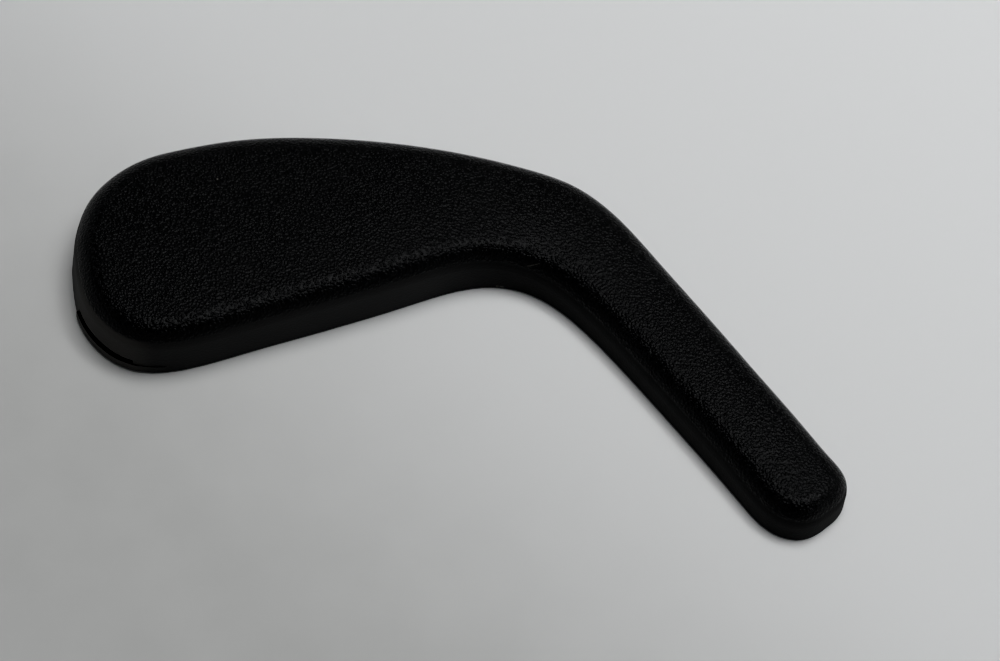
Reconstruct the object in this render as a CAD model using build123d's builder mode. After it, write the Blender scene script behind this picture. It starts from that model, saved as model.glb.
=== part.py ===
"""Car seat recliner lever: a hollow moulded lever with a splined hub socket, and the
spring-steel clip that locks it on the seat's recliner shaft. Millimetres.

Frame: the origin is on the hub axis in the plane of the skirt's lower rim. +Z points
to the visible outer face, +X runs from the hub towards the finger grip.
"""

from build123d import *
import math
import os

os.makedirs("parts", exist_ok=True)

# ---------------------------------------------------------------- driving dimensions

# shell
DRAFT_DEG = 2.5          # draft of the outer skirt wall
WALL = 2.6               # skirt wall thickness
ROOF = 2.8               # thickness under the outer face
SHOULDER_R = 5.5         # rounding between the outer face and the skirt
RIM_EDGE_R = 0.35        # softened outer corner of the rim
HEAD_H = 15.0            # height of the outer face over the hub, its highest point
HEAD_FALL = 0.3          # how far it falls from there to the neck
GRIP_H = 10.9            # height of the outer face over the grip
TIP_DROP = 1.1           # how far the outer face falls towards the tip
HEAD_CROWN = 0.7         # fall of the outer face from the middle to the side, head
GRIP_CROWN = 0.9         # the same on the grip

# rim outline in the plane z = 0, counter-clockwise from the round end of the head
RIM = [
    (-25.3, -4.2), (-23.2, -10.9), (-20.0, -17.1), (-15.1, -21.8), (-9.7, -24.4),
    (-3.6, -24.7), (2.3, -23.0), (8.5, -19.9), (16.2, -15.3), (26.6, -9.2),
    (37.8, -2.6), (48.0, 3.7), (57.3, 9.5), (65.6, 12.9), (73.6, 13.3),
    (81.0, 10.9), (89.4, 5.6), (100.3, -3.3), (112.4, -13.9), (124.3, -24.6),
    (129.2, -29.2), (133.6, -32.9), (138.6, -34.9), (143.8, -34.2), (147.9, -30.5),
    (150.7, -25.8), (150.3, -20.8), (146.0, -16.1), (140.4, -10.9), (129.3, -0.7), (114.7, 12.8),
    (101.2, 24.9), (94.4, 30.8), (87.7, 35.5), (79.6, 39.0), (68.8, 40.4),
    (53.8, 40.5), (35.7, 39.1), (18.0, 36.2), (2.8, 31.7), (-8.1, 26.7),
    (-15.9, 22.0), (-21.4, 16.1), (-24.9, 9.2), (-25.9, 2.3),
]

# middle line of the lever, followed by the crown of the outer face and by the ribs
SPINE = [
    (-46.0, -17.5), (-12.0, -3.6), (18.0, 9.4), (42.0, 21.0), (62.0, 26.3),
    (80.0, 24.6), (93.0, 16.6), (107.2, 4.4), (125.8, -12.3), (160.0, -43.0),
]

# hub
BOSS_R = 11.0            # outside radius of the hub boss
PILOT_R = 7.0            # plain guide bore at the mouth
PILOT_L = 2.7            # its length, from the rim plane inwards
SPLINE_MINOR_R = 6.0     # tips of the socket's teeth
SPLINE_MAJOR_R = 6.5     # roots of the socket's teeth
SPLINE_TEETH = 24
SOCKET_TOP = 11.4        # end of the splined socket

# retaining clip and its channel
CLIP_ANGLE = -126.3      # direction in which the clip slides out, from +X
CLIP_Z = 2.95            # underside of the clip
CLIP_T = 0.8             # strip thickness
CLIP_W = 16.6            # width over the legs
CLIP_GAP_R = 5.4         # half of the gap between the legs, and the root's radius
CLIP_TIP = -5.5          # where the legs end, behind the shaft
CLIP_OUT = 17.0          # outer end of the clip
SLOT_W = 17.4            # channel width
SLOT_Z = (PILOT_L, 4.0)  # channel floor and ceiling
LIP_STEP = 0.35          # how far the skirt lip under the slot stands proud
LIP_Z = 0.45             # underside of that step

# ribs: two long ones beside the middle line, cross ribs at right angles to it,
# and radial ones that tie the hub boss to the skirt
RIB_T = 1.5
RIB_Z = 1.6              # lower edge of the ribs above the rim plane
LONG_OFF = 3.7           # distance of the long ribs from the middle line in the grip
CROSS_AT = [26.0, 38.5, 51.0, 63.0, 75.0, 87.0, 98.5, 109.5, 120.5, 131.5]
RADIAL_AT = [-52, -5, 42, 88, 135, 182]

# ---------------------------------------------------------------- helper geometry

rim_edge = Edge.make_spline([Vector(x, y, 0) for x, y in RIM], periodic=True)
spine_edge = Edge.make_spline([Vector(x, y, 0) for x, y in SPINE])


def run_shares(pts):
    """How far along the closed run of points each one lies, from 0 to 1."""
    steps = [math.dist(a, b) for a, b in zip(pts, pts[1:] + pts[:1])]
    return [sum(steps[:i]) / sum(steps) for i in range(len(pts))]


RIM_AT = run_shares(RIM)


def ring(inset, z):
    """The rim outline moved inwards by inset, at height z: one smooth closed curve, in two edges."""
    pts = []
    for t in RIM_AT:
        p, d = rim_edge @ t, rim_edge % t
        pts.append(Vector(p.X - d.Y * inset, p.Y + d.X * inset, z))
    whole = Edge.make_spline(pts, periodic=True)
    return [whole.trim(0.0, 0.53), whole.trim(0.53, 1.0)]


def smooth(t):
    t = min(max(t, 0.0), 1.0)
    return t * t * (3 - 2 * t)


def face_height(x):
    """Height of the outer face on the middle line, by position along X."""
    h = HEAD_H - HEAD_FALL * smooth(abs(x) / 38)
    h += (GRIP_H - HEAD_H + HEAD_FALL) * smooth((x - 38) / (104 - 38))
    return h - TIP_DROP * max(0.0, (x - 122) / 28) ** 2


def half_width(x):
    return 27.0 + (10.4 - 27.0) * smooth((x - 8) / (95 - 8))


def crowned_face(lower):
    """The gently crowned outer face, moved down by lower, reaching past the outline."""
    rows = []
    n_s, n_c = 26, 7
    for i in range(n_s):
        t = i / (n_s - 1)
        p, d = spine_edge @ t, spine_edge % t
        side = Vector(-d.Y, d.X, 0)
        hw = half_width(p.X)
        crown = HEAD_CROWN + (GRIP_CROWN - HEAD_CROWN) * smooth((p.X - 30) / 60)
        row = []
        for j in range(n_c):
            v = 1 - 2 * j / (n_c - 1)
            reach = hw + (4.5 if p.X > 30 else 9.0)
            off = v * reach
            z = face_height(p.X) - crown * (off / hw) ** 2 - lower
            row.append(Vector(p.X + side.X * off, p.Y + side.Y * off, z))
        rows.append(row)
    return Face.make_surface_from_array_of_points(rows, tol=0.01, min_deg=3, max_deg=3)


def under_face(face, depth):
    """Solid below a crowned face."""
    return Solid.extrude(face, Vector(0, 0, -depth))


def clip_point(u, v, z=0.0):
    """A point given along and across the clip's slide direction."""
    a = math.radians(CLIP_ANGLE)
    return (u * math.cos(a) - v * math.sin(a), u * math.sin(a) + v * math.cos(a), z)


def clip_coords(p):
    """The reverse of clip_point, for a point of the outline."""
    a = math.radians(CLIP_ANGLE)
    return (p.X * math.cos(a) + p.Y * math.sin(a), p.Y * math.cos(a) - p.X * math.sin(a))


def clip_plane(z):
    return Plane(origin=(0, 0, z), x_dir=clip_point(1, 0), z_dir=(0, 0, 1))


def drafted(inset_low, z_low, z_high, draft):
    """Drafted solid between two rings of the outline."""
    drop = (z_high - z_low) * math.tan(math.radians(draft))
    low = Wire(ring(inset_low, z_low))
    high = Wire(ring(inset_low + drop, z_high))
    return Solid.make_loft([low, high], ruled=True)


# ---------------------------------------------------------------- outer and inner forms

with BuildPart() as outer_form:
    add(drafted(0.0, 0.0, 20.0, DRAFT_DEG))
    add(under_face(crowned_face(0.0), 40.0), mode=Mode.INTERSECT)

with BuildPart() as cavity_form:
    # the roof inside follows the outer face along X, and is straight across
    with BuildSketch(Plane.XZ):
        with BuildLine():
            roof = [(x, face_height(x) - ROOF) for x in (38, 50, 60, 70, 80, 92, 104)]
            Polyline((38, roof[0][1]), (-40, roof[0][1]), (-40, -1), (160, -1), (160, face_height(148) - ROOF - 0.8),
                     (124, face_height(124) - ROOF - 0.2), (104, roof[-1][1]))
            Spline(*roof, tangents=[(1, 0), (1, 0)])
        make_face()
    extrude(amount=80, both=True)
    add(drafted(WALL, -1.0, 20.0, 1.5), mode=Mode.INTERSECT, clean=False)

# ---------------------------------------------------------------- ribs, boss and channel housing


def spine_at_x(x):
    lo, hi = 0.0, 1.0
    for _ in range(40):
        mid = (lo + hi) / 2
        if (spine_edge @ mid).X < x:
            lo = mid
        else:
            hi = mid
    return (lo + hi) / 2


def long_rib(side, start_x, end_x, n=12):
    """Both sides of a curved rib beside the middle line, further from it where the lever is wide."""
    near, far = [], []
    for i in range(n):
        t = spine_at_x(start_x + (end_x - start_x) * i / (n - 1))
        p, d = spine_edge @ t, spine_edge % t
        off = side * LONG_OFF * half_width(p.X) / 10.4
        near.append(Vector(p.X - d.Y * (off - RIB_T / 2), p.Y + d.X * (off - RIB_T / 2), 0))
        far.append(Vector(p.X - d.Y * (off + RIB_T / 2), p.Y + d.X * (off + RIB_T / 2), 0))
    return near, far


with BuildPart() as rib_form:
    for side in (-1, 1):
        near, far = long_rib(side, 20.0, 146.0)
        with BuildSketch(Plane.XY.offset(RIB_Z)):
            with BuildLine():
                a = Spline(*near)
                b = Spline(*far)
                Line(a @ 0, b @ 0)
                Line(a @ 1, b @ 1)
            make_face()
        extrude(amount=18)
    for x in CROSS_AT:
        t = spine_at_x(x)
        p, d = spine_edge @ t, spine_edge % t
        with BuildSketch(Plane(origin=(p.X, p.Y, RIB_Z), x_dir=(d.X, d.Y, 0), z_dir=(0, 0, 1))):
            Rectangle(RIB_T, 2 * half_width(p.X) + 6)
        extrude(amount=18)

with BuildPart() as hub_form:
    # boss, flush with the rim plane
    with BuildSketch(Plane.XY.offset(0)):
        Circle(BOSS_R)
    extrude(amount=19)
    for angle in RADIAL_AT:
        a = math.radians(angle)
        with BuildSketch(Plane(origin=(0, 0, RIB_Z), x_dir=(math.cos(a), math.sin(a), 0), z_dir=(0, 0, 1))):
            with Locations((BOSS_R + 8, 0)):
                Rectangle(20, RIB_T)
        extrude(amount=17.4)
    # housing of the clip's channel, from the boss to the skirt
    with BuildSketch(clip_plane(0.9)):
        with Locations((15.5, 0)):
            Rectangle(19.5, SLOT_W + 3.6)
    extrude(amount=4.9)
    with BuildSketch(clip_plane(5.0)):
        with Locations((15.5, SLOT_W / 2 + 0.9), (15.5, -SLOT_W / 2 - 0.9)):
            Rectangle(19.5, 1.8)
    extrude(amount=14)

# ---------------------------------------------------------------- lever body

with BuildPart() as hollow:
    add(cavity_form.part, clean=False)
    add(rib_form.part, mode=Mode.SUBTRACT, clean=False)
    add(hub_form.part, mode=Mode.SUBTRACT, clean=False)

with BuildPart() as lever_body:
    add(outer_form.part, clean=False)
    add(hollow.part, mode=Mode.SUBTRACT, clean=False)

    # skirt lip under the clip's slot: stands proud, with a sharp step at one end
    lip_out, lip_in = [], []
    rim_uv = [clip_coords(rim_edge @ (k / 900)) for k in range(0, 240)]
    for i in range(17):
        v = -9.1 + i * (14.0 + 9.1) / 16
        u = min(rim_uv, key=lambda q: abs(q[1] - v))[0]
        proud = LIP_STEP * (1 - smooth((v - 4.0) / 9.5))
        lip_out.append(clip_point(u + proud, v))
        lip_in.append(clip_point(u - 1.2, v))
    with BuildSketch(Plane.XY.offset(LIP_Z)):
        with BuildLine():
            a = Spline(*lip_out)
            b = Spline(*lip_in)
            Line(a @ 0, b @ 0)
            Line(a @ 1, b @ 1)
        make_face()
    extrude(amount=SLOT_Z[0] - LIP_Z, clean=False)

    # channel for the clip, right through the skirt and the front of the boss
    with BuildSketch(clip_plane(SLOT_Z[0])):
        with Locations(((CLIP_TIP - 0.6 + 34) / 2, 0)):
            Rectangle(34 - (CLIP_TIP - 0.6), SLOT_W)
        Circle(PILOT_R + 0.3)
    extrude(amount=SLOT_Z[1] - SLOT_Z[0], mode=Mode.SUBTRACT, clean=False)

    # plain guide bore at the mouth of the hub
    with BuildSketch(Plane.XY):
        Circle(PILOT_R)
    extrude(amount=SLOT_Z[0], mode=Mode.SUBTRACT, clean=False)

    # splined socket above the clip
    teeth = []
    for i in range(SPLINE_TEETH):
        a0 = 2 * math.pi * i / SPLINE_TEETH
        for f, r in ((0.10, SPLINE_MAJOR_R), (0.40, SPLINE_MAJOR_R), (0.60, SPLINE_MINOR_R), (0.90, SPLINE_MINOR_R)):
            a1 = a0 + f * 2 * math.pi / SPLINE_TEETH
            teeth.append((r * math.cos(a1), r * math.sin(a1)))
    with BuildSketch(Plane.XY.offset(SLOT_Z[1])):
        Polygon(*teeth, align=None)
    extrude(amount=SOCKET_TOP - SLOT_Z[1], mode=Mode.SUBTRACT, clean=False)

    # rounded shoulder round the outer face, and the softened corner of the rim
    crest = lever_body.edges().filter_by(lambda e: e.bounding_box().min.Z > 5)
    fillet(crest.sort_by(Edge.length)[-2:], radius=SHOULDER_R)
    rim_faces = lever_body.faces().filter_by(lambda f: f.bounding_box().max.Z < 0.01)
    fillet(rim_faces.sort_by(Face.area)[-1].outer_wire().edges(), radius=RIM_EDGE_R)

lever_body.part.label = "lever_body"

# ---------------------------------------------------------------- retaining clip

CLIP_CORNER_R = 1.6      # outer corners of the clip
PULL_L, PULL_W = 6.4, 2.6  # slot that a hooked tool pulls on

with BuildPart() as retaining_clip:
    with BuildSketch(clip_plane(CLIP_Z)):
        with Locations(((CLIP_TIP + CLIP_OUT) / 2, 0)):
            RectangleRounded(CLIP_OUT - CLIP_TIP, CLIP_W, CLIP_CORNER_R)
        # gap that straddles the groove of the shaft
        with Locations((CLIP_TIP / 2 - 1, 0)):
            Rectangle(-CLIP_TIP + 2, 2 * CLIP_GAP_R, mode=Mode.SUBTRACT)
        Circle(CLIP_GAP_R, mode=Mode.SUBTRACT)
        # pull slot near the outer end
        with Locations((12.4, 0)):
            SlotOverall(PULL_L, PULL_W, rotation=90, mode=Mode.SUBTRACT)
    extrude(amount=CLIP_T)

retaining_clip.part.label = "retaining_clip"

# ---------------------------------------------------------------- export

export_step(lever_body.part, "parts/lever_body.step")
export_step(retaining_clip.part, "parts/retaining_clip.step")

for piece in (lever_body, retaining_clip):
    b = piece.part.bounding_box()
    print(piece.part.label, round(piece.part.volume, 1), piece.part.is_valid, len(piece.part.solids()),
          [round(q, 2) for q in (b.min.X, b.min.Y, b.min.Z, b.max.X, b.max.Y, b.max.Z)])
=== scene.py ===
import math

import bpy
from mathutils import Matrix, Vector

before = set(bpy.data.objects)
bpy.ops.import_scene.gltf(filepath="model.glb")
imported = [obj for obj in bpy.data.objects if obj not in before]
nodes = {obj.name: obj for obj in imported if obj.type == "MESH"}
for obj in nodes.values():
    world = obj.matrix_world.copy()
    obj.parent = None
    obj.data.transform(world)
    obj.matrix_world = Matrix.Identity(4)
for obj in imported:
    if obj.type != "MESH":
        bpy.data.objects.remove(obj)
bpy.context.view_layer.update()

# ------------------------------------------------------------------ camera
ELEV = math.radians(60.0)
ROLL = math.radians(11.0)
F_PX = 4000.0
MM_PER_PX = 0.222
LOOK_AT = Vector((0.06993, 0.00272, 0.0))

fwd = Vector((0, math.cos(ELEV), -math.sin(ELEV)))
right = Vector((1, 0, 0))
up = Vector((0, math.sin(ELEV), math.cos(ELEV)))
right2 = math.cos(ROLL) * right + math.sin(ROLL) * up
up2 = -math.sin(ROLL) * right + math.cos(ROLL) * up

cam_data = bpy.data.cameras.new("camera")
cam_data.sensor_fit = "HORIZONTAL"
cam_data.sensor_width = 36.0
cam_data.lens = F_PX * 36.0 / 1000.0
cam_data.clip_start = 0.01
cam_data.clip_end = 20.0
camera = bpy.data.objects.new("camera", cam_data)
bpy.context.scene.collection.objects.link(camera)
m = Matrix((
    (right2.x, up2.x, -fwd.x, 0),
    (right2.y, up2.y, -fwd.y, 0),
    (right2.z, up2.z, -fwd.z, 0),
    (0, 0, 0, 1),
))
m.translation = LOOK_AT - fwd * (F_PX * MM_PER_PX * 0.001)
camera.matrix_world = m
bpy.context.scene.camera = camera

# ------------------------------------------------------------------ colour handling
scene = bpy.context.scene
scene.view_settings.view_transform = "Standard"
scene.view_settings.look = "None"
# deep blacks, as a camera's tone curve gives them: the lowest tones are pressed together
scene.view_settings.use_curve_mapping = True
tone = scene.view_settings.curve_mapping
toe = tone.curves[3]
for x, y in ((0.006, 0.0), (0.06, 0.024), (0.20, 0.19)):
    toe.points.new(x, y)
for point in toe.points:
    point.handle_type = "VECTOR"
tone.update()


# ------------------------------------------------------------------ node helpers
def new_material(name):
    mat = bpy.data.materials.new(name)
    mat.use_nodes = True
    nt = mat.node_tree
    nt.nodes.clear()
    out = nt.nodes.new("ShaderNodeOutputMaterial")
    bsdf = nt.nodes.new("ShaderNodeBsdfPrincipled")
    nt.links.new(bsdf.outputs["BSDF"], out.inputs["Surface"])
    return mat, nt, bsdf


def node(nt, kind, **inputs):
    n = nt.nodes.new(kind)
    for k, v in inputs.items():
        n.inputs[k.replace("_", " ")].default_value = v
    return n


def math_node(nt, op, a, b=None, clamp=False):
    n = nt.nodes.new("ShaderNodeMath")
    n.operation = op
    n.use_clamp = clamp
    for i, v in enumerate((a, b)):
        if v is None:
            continue
        if isinstance(v, (int, float)):
            n.inputs[i].default_value = v
        else:
            nt.links.new(v, n.inputs[i])
    return n.outputs[0]


def map_range(nt, value, a, b, c, d, smooth=False):
    n = nt.nodes.new("ShaderNodeMapRange")
    n.interpolation_type = "SMOOTHSTEP" if smooth else "LINEAR"
    n.inputs["From Min"].default_value = a
    n.inputs["From Max"].default_value = b
    n.inputs["To Min"].default_value = c
    n.inputs["To Max"].default_value = d
    nt.links.new(value, n.inputs["Value"])
    return n.outputs["Result"]


def vector_node(nt, op, a, b, out=0):
    n = nt.nodes.new("ShaderNodeVectorMath")
    n.operation = op
    for i, v in enumerate((a, b)):
        if isinstance(v, (tuple, Vector)):
            n.inputs[i].default_value = v
        elif isinstance(v, float):
            n.inputs["Scale"].default_value = v
        elif v is not None and op == "SCALE" and i == 1:
            nt.links.new(v, n.inputs["Scale"])
        elif v is not None:
            nt.links.new(v, n.inputs[i])
    return n.outputs[out]


def mark(nt, pos, a, b, radius, soft):
    """1 within radius of the line from a to b (millimetres), fading to 0 over soft."""
    a, b = Vector(a) * 0.001, Vector(b) * 0.001
    off = vector_node(nt, "SUBTRACT", pos, a)
    along = b - a
    if along.length > 0:
        t = math_node(nt, "DIVIDE", vector_node(nt, "DOT_PRODUCT", off, along, 1), along.length_squared, clamp=True)
        off = vector_node(nt, "SUBTRACT", off, vector_node(nt, "SCALE", along, t))
    return map_range(nt, vector_node(nt, "LENGTH", off, None, 1), radius * 0.001, (radius + soft) * 0.001, 1.0, 0.0, True)


def blend_colour(nt, share, a, b):
    n = nt.nodes.new("ShaderNodeMix")
    n.data_type = "RGBA"
    nt.links.new(share, n.inputs["Factor"])
    for socket, v in ((n.inputs[6], a), (n.inputs[7], b)):
        if isinstance(v, tuple):
            socket.default_value = v
        else:
            nt.links.new(v, socket)
    return n.outputs[2]


# ------------------------------------------------------------------ grained black plastic
def grained_plastic():
    mat, nt, bsdf = new_material("grained_black_plastic")
    geo = nt.nodes.new("ShaderNodeTexCoord")
    pos = geo.outputs["Object"]

    # irregular pebbles, about 0.6 mm across, pulled about by a slow noise
    warp = node(nt, "ShaderNodeTexNoise", Scale=700.0, Detail=2.0, Roughness=0.5)
    nt.links.new(pos, warp.inputs["Vector"])
    mixv = nt.nodes.new("ShaderNodeVectorMath")
    mixv.operation = "MULTIPLY_ADD"
    nt.links.new(warp.outputs["Color"], mixv.inputs[0])
    mixv.inputs[1].default_value = (0.0005, 0.0005, 0.0005)
    nt.links.new(pos, mixv.inputs[2])

    cells = nt.nodes.new("ShaderNodeTexVoronoi")
    cells.feature = "SMOOTH_F1"
    cells.inputs["Scale"].default_value = 1650.0
    cells.inputs["Smoothness"].default_value = 0.35
    cells.inputs["Randomness"].default_value = 0.95
    nt.links.new(mixv.outputs[0], cells.inputs["Vector"])
    pebble = map_range(nt, cells.outputs["Distance"], 0.0, 0.75, 1.0, 0.0, True)

    fine = node(nt, "ShaderNodeTexNoise", Scale=5200.0, Detail=3.0, Roughness=0.6)
    nt.links.new(pos, fine.inputs["Vector"])
    h = math_node(nt, "ADD", math_node(nt, "MULTIPLY", pebble, 0.85),
                  math_node(nt, "MULTIPLY", fine.outputs["Fac"], 0.30))

    # 0 on the outer face and its shoulder, 1 on the skirt wall, which is moulded smoother and is given a greyer
    # colour than the top as painted light, standing in for the floor light it reflects
    facing = nt.nodes.new("ShaderNodeSeparateXYZ")
    nt.links.new(geo.outputs["Normal"], facing.inputs[0])
    wall = map_range(nt, math_node(nt, "ABSOLUTE", facing.outputs["Z"]), 0.50, 0.36, 0.0, 1.0, True)

    bump = nt.nodes.new("ShaderNodeBump")
    nt.links.new(map_range(nt, wall, 0.0, 1.0, 1.0, 0.3), bump.inputs["Strength"])
    bump.inputs["Distance"].default_value = 0.00013
    nt.links.new(h, bump.inputs["Height"])
    nt.links.new(bump.outputs["Normal"], bsdf.inputs["Normal"])

    # colour: near black, the pebble tops a touch greyer from handling
    ramp = nt.nodes.new("ShaderNodeValToRGB")
    ramp.color_ramp.elements[0].position = 0.15
    ramp.color_ramp.elements[0].color = (0.0013, 0.0013, 0.0014, 1)
    ramp.color_ramp.elements[1].position = 0.95
    ramp.color_ramp.elements[1].color = (0.0026, 0.0026, 0.0027, 1)
    nt.links.new(pebble, ramp.inputs["Fac"])
    # painted light on the wall: it is rougher along the bend and the grip and its colour there is darkened as
    # painted shade, and round the head's rounded tip it is made lighter and warmer as a painted reflection
    place = nt.nodes.new("ShaderNodeSeparateXYZ")
    nt.links.new(pos, place.inputs[0])
    grip = map_range(nt, place.outputs["X"], 0.048, 0.066, 0.0, 1.0, True)
    end_painted_reflection = map_range(nt, vector_node(nt, "DOT_PRODUCT", pos, (-0.60, -0.80, 0.0), 1), 0.0205, 0.0255, 0.0, 1.0, True)
    painted_wall_tone = blend_colour(nt, grip, (0.0125, 0.0124, 0.0122, 1), (0.0048, 0.0048, 0.0047, 1))
    painted_wall_tone = blend_colour(nt, end_painted_reflection, painted_wall_tone, (0.054, 0.051, 0.047, 1))
    # painted light: the skirt wall takes these lighter painted tones instead of the near-black top colour
    skin = blend_colour(nt, wall, ramp.outputs["Color"], painted_wall_tone)

    # pale marks: a painted highlight along the upper edge of the slot at the head's lower left, and small pale marks
    # elsewhere
    broken = node(nt, "ShaderNodeTexNoise", Scale=2600.0, Detail=2.0, Roughness=0.5)
    nt.links.new(pos, broken.inputs["Vector"])
    specks_and_painted_glint = None
    for a, b, radius, soft, weight in (
        ((73.2, 14.6, 9.7), (75.6, 15.3, 10.5), 0.03, 0.22, 0.45),
        ((67.4, 13.3, 0.8), (68.6, 13.4, 0.8), 0.15, 0.30, 0.9),
        # painted highlight: a bright line along the slot's upper edge
        ((-19.4, -17.7, 4.3), (-16.8, -20.4, 4.3), 0.10, 0.35, 1.0),
        ((2.3, 18.4, 14.8), (2.3, 18.4, 14.8), 0.10, 0.20, 0.9),
        ((149.3, -22.0, 8.0), (149.3, -22.0, 8.0), 0.10, 0.25, 0.7),
    ):
        m = math_node(nt, "MULTIPLY", mark(nt, pos, a, b, radius, soft), weight)
        specks_and_painted_glint = m if specks_and_painted_glint is None else math_node(nt, "MAXIMUM", specks_and_painted_glint, m)
    specks_and_painted_glint = math_node(nt, "MULTIPLY", specks_and_painted_glint, map_range(nt, broken.outputs["Fac"], 0.38, 0.56, 0.25, 1.0))
    skin = blend_colour(nt, specks_and_painted_glint, skin, (0.13, 0.125, 0.115, 1))
    nt.links.new(skin, bsdf.inputs["Base Color"])

    # roughness: satin, uneven with handling
    slow = node(nt, "ShaderNodeTexNoise", Scale=38.0, Detail=4.0, Roughness=0.55)
    nt.links.new(pos, slow.inputs["Vector"])
    rough = math_node(nt, "ADD", map_range(nt, slow.outputs["Fac"], 0.3, 0.7, 0.21, 0.27),
                      math_node(nt, "MULTIPLY", fine.outputs["Fac"], 0.08))
    duller = math_node(nt, "ADD", math_node(nt, "MULTIPLY", grip, 0.10), 0.33)
    rough = math_node(nt, "ADD", rough, math_node(nt, "MULTIPLY", wall, duller))
    nt.links.new(rough, bsdf.inputs["Roughness"])
    bsdf.inputs["Specular IOR Level"].default_value = 0.30
    return mat


def steel():
    mat, nt, bsdf = new_material("spring_steel")
    geo = nt.nodes.new("ShaderNodeTexCoord")
    pos = geo.outputs["Object"]
    mp = nt.nodes.new("ShaderNodeMapping")
    mp.inputs["Rotation"].default_value = (0, 0, math.radians(126.3))
    mp.inputs["Scale"].default_value = (60.0, 2600.0, 400.0)
    nt.links.new(pos, mp.inputs["Vector"])
    lines = node(nt, "ShaderNodeTexNoise", Scale=1.0, Detail=5.0, Roughness=0.6)
    nt.links.new(mp.outputs["Vector"], lines.inputs["Vector"])
    spots = node(nt, "ShaderNodeTexNoise", Scale=420.0, Detail=3.0, Roughness=0.55)
    nt.links.new(pos, spots.inputs["Vector"])
    ramp = nt.nodes.new("ShaderNodeValToRGB")
    ramp.color_ramp.elements[0].position = 0.35
    ramp.color_ramp.elements[0].color = (0.20, 0.19, 0.18, 1)
    ramp.color_ramp.elements[1].position = 0.7
    ramp.color_ramp.elements[1].color = (0.42, 0.42, 0.43, 1)
    nt.links.new(spots.outputs["Fac"], ramp.inputs["Fac"])
    nt.links.new(ramp.outputs["Color"], bsdf.inputs["Base Color"])
    bsdf.inputs["Metallic"].default_value = 1.0
    nt.links.new(map_range(nt, lines.outputs["Fac"], 0.3, 0.7, 0.26, 0.44), bsdf.inputs["Roughness"])
    bump = nt.nodes.new("ShaderNodeBump")
    bump.inputs["Strength"].default_value = 0.5
    bump.inputs["Distance"].default_value = 0.00002
    nt.links.new(lines.outputs["Fac"], bump.inputs["Height"])
    nt.links.new(bump.outputs["Normal"], bsdf.inputs["Normal"])
    return mat


plastic = grained_plastic()
spring = steel()
for name, mat in (("lever_body", plastic), ("retaining_clip", spring)):
    for s in nodes[name].material_slots:
        s.material = mat

# ------------------------------------------------------------------ floor
def floor():
    mesh = bpy.data.meshes.new("floor")
    s = 4.0
    mesh.from_pydata([(-s, -s, 0), (s, -s, 0), (s, s, 0), (-s, s, 0)], [], [(0, 1, 2, 3)])
    ob = bpy.data.objects.new("floor", mesh)
    ob.location = (0, 0, -0.00005)
    scene.collection.objects.link(ob)
    mat, nt, bsdf = new_material("floor_paint")
    geo = nt.nodes.new("ShaderNodeTexCoord")
    n = node(nt, "ShaderNodeTexNoise", Scale=55.0, Detail=4.0, Roughness=0.5)
    nt.links.new(geo.outputs["Object"], n.inputs["Vector"])
    ramp = nt.nodes.new("ShaderNodeValToRGB")
    ramp.color_ramp.elements[0].position = 0.3
    ramp.color_ramp.elements[0].color = (0.50, 0.504, 0.50, 1)
    ramp.color_ramp.elements[1].position = 0.7
    ramp.color_ramp.elements[1].color = (0.53, 0.534, 0.53, 1)
    nt.links.new(n.outputs["Fac"], ramp.inputs["Fac"])
    # painted light: the floor colour is lighter towards the back right and darker in a broad band towards the front
    # left, lighter again beyond it, standing in for the lamp's falloff and a soft shadow
    far = nt.nodes.new("ShaderNodeVectorMath")
    far.operation = "DOT_PRODUCT"
    nt.links.new(geo.outputs["Object"], far.inputs[0])
    far.inputs[1].default_value = (0.52, 0.85, 0.0)
    painted_floor_light = map_range(nt, far.outputs["Value"], -0.057, 0.064, 0.0, 1.0, True)
    painted_floor_light = math_node(nt, "MAXIMUM", painted_floor_light, map_range(nt, far.outputs["Value"], -0.14, -0.60, 0.0, 1.0, True))
    nt.links.new(blend_colour(nt, painted_floor_light, ramp.outputs["Color"], (0.725, 0.732, 0.737, 1)), bsdf.inputs["Base Color"])
    bsdf.inputs["Roughness"].default_value = 0.6
    bsdf.inputs["Specular IOR Level"].default_value = 0.3
    mesh.materials.append(mat)
    return ob


floor()

# ------------------------------------------------------------------ light
# a dim room that shows to the camera as a plain pale backdrop
world = bpy.data.worlds.new("world")
scene.world = world
world.use_nodes = True
wt = world.node_tree
bg = wt.nodes["Background"]
bg.inputs["Color"].default_value = (0.92, 0.96, 1.0, 1)
bg.inputs["Strength"].default_value = 0.09
pale = wt.nodes.new("ShaderNodeBackground")
pale.inputs["Color"].default_value = (0.40, 0.405, 0.41, 1)
seen = wt.nodes.new("ShaderNodeLightPath")
both = wt.nodes.new("ShaderNodeMixShader")
wt.links.new(seen.outputs["Is Camera Ray"], both.inputs[0])
wt.links.new(bg.outputs[0], both.inputs[1])
wt.links.new(pale.outputs[0], both.inputs[2])
wt.links.new(both.outputs[0], wt.nodes["World Output"].inputs["Surface"])


def aim(ob, loc, target, glossy=True, diffuse=True):
    ob.location = loc
    ob.rotation_euler = (Vector(target) - Vector(loc)).to_track_quat("-Z", "Y").to_euler()
    ob.visible_glossy = glossy
    ob.visible_diffuse = diffuse
    ob.visible_camera = False
    scene.collection.objects.link(ob)


# soft overhead light from behind, which the whole floor gets
sun = bpy.data.lights.new("ceiling", "SUN")
sun.energy = 1.56
sun.angle = math.radians(33.0)
sun.color = (1.0, 0.995, 0.985)
aim(bpy.data.objects.new("ceiling", sun), (0.05, 0.20, 1.0), (0, 0, 0), glossy=False)

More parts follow.
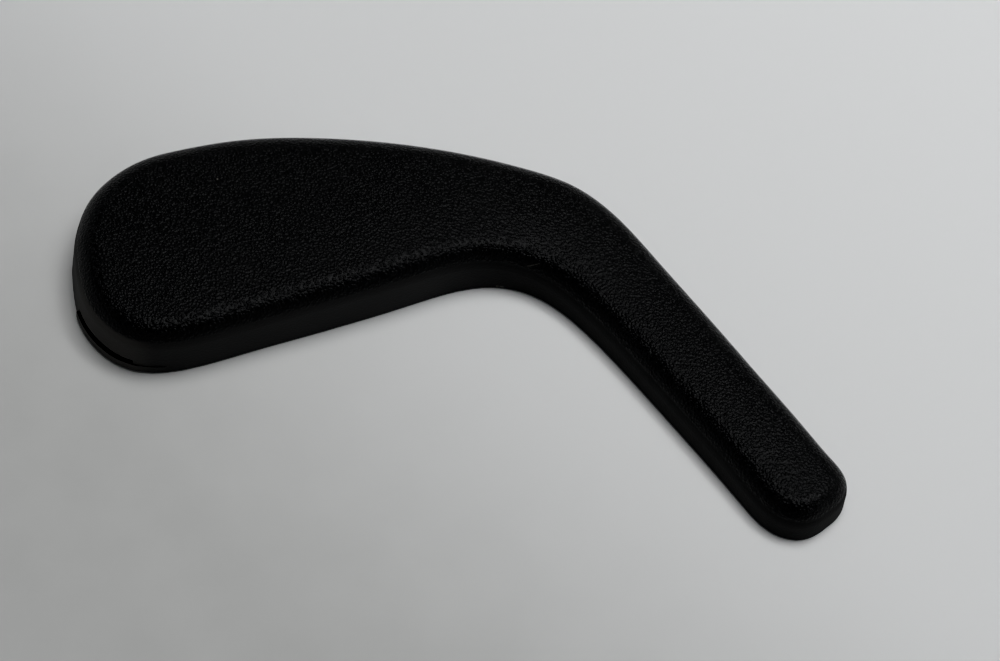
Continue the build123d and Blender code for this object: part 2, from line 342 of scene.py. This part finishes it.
# lamp at the right, whose beam fades out towards the lower left
lamp = bpy.data.lights.new("lamp", "SPOT")
lamp.energy = 12.5
lamp.spot_size = 2 * 0.743
lamp.spot_blend = 0.3
lamp.shadow_soft_size = 0.22
lamp.color = (0.985, 0.995, 1.0)
aim(bpy.data.objects.new("lamp", lamp), (0.40, 0.25, 0.85), (0.362, 0.505, 0), glossy=False)


# softboxes that the satin surface mirrors: a bright one overhead and a dim one behind
def softbox(name, x, y, z, radiance, colour):
    """A panel at height z that spans x and y, or at depth y that spans x and z."""
    data = bpy.data.lights.new(name, "AREA")
    data.shape = "RECTANGLE"
    flat = not isinstance(z, tuple)
    low = Vector((x[0], y[0] if flat else y, z if flat else z[0]))
    high = Vector((x[1], y[1] if flat else y, z if flat else z[1]))
    span = high - low
    data.size, data.size_y = span.x, span.y if flat else span.z
    data.energy = radiance * math.pi * data.size * data.size_y
    data.color = colour
    middle = (low + high) / 2
    aim(bpy.data.objects.new(name, data), middle, middle - Vector((0, 0, 1) if flat else (0, 1, 0)), diffuse=False)


softbox("overhead", (-0.03, 0.75), (-0.09, 0.39), 1.1, 2.45, (0.98, 0.99, 1.0))
softbox("right", (0.15, 0.45), (0.0, 0.36), 1.05, 0.95, (0.88, 0.93, 1.0))
softbox("back", (-0.9, 1.1), 0.9, (0.5, 1.5), 0.11, (1.0, 1.0, 1.0))

# dim walls of the room all round, for the sheen that low views catch
def room_wall(name, loc, width, radiance):
    data = bpy.data.lights.new(name, "AREA")
    data.shape = "RECTANGLE"
    data.size, data.size_y = width, 1.5
    data.energy = radiance * math.pi * data.size * data.size_y
    data.color = (0.97, 0.985, 1.0)
    aim(bpy.data.objects.new(name, data), loc, (0, 0, loc[2]), diffuse=False)


room_wall("wall_front", (0.0, -1.9, 0.85), 3.8, 0.15)
room_wall("wall_back", (0.0, 1.9, 0.85), 3.8, 0.16)
room_wall("wall_left", (-1.9, 0.0, 0.85), 3.8, 0.30)
room_wall("wall_right", (1.9, 0.0, 0.85), 3.8, 0.30)
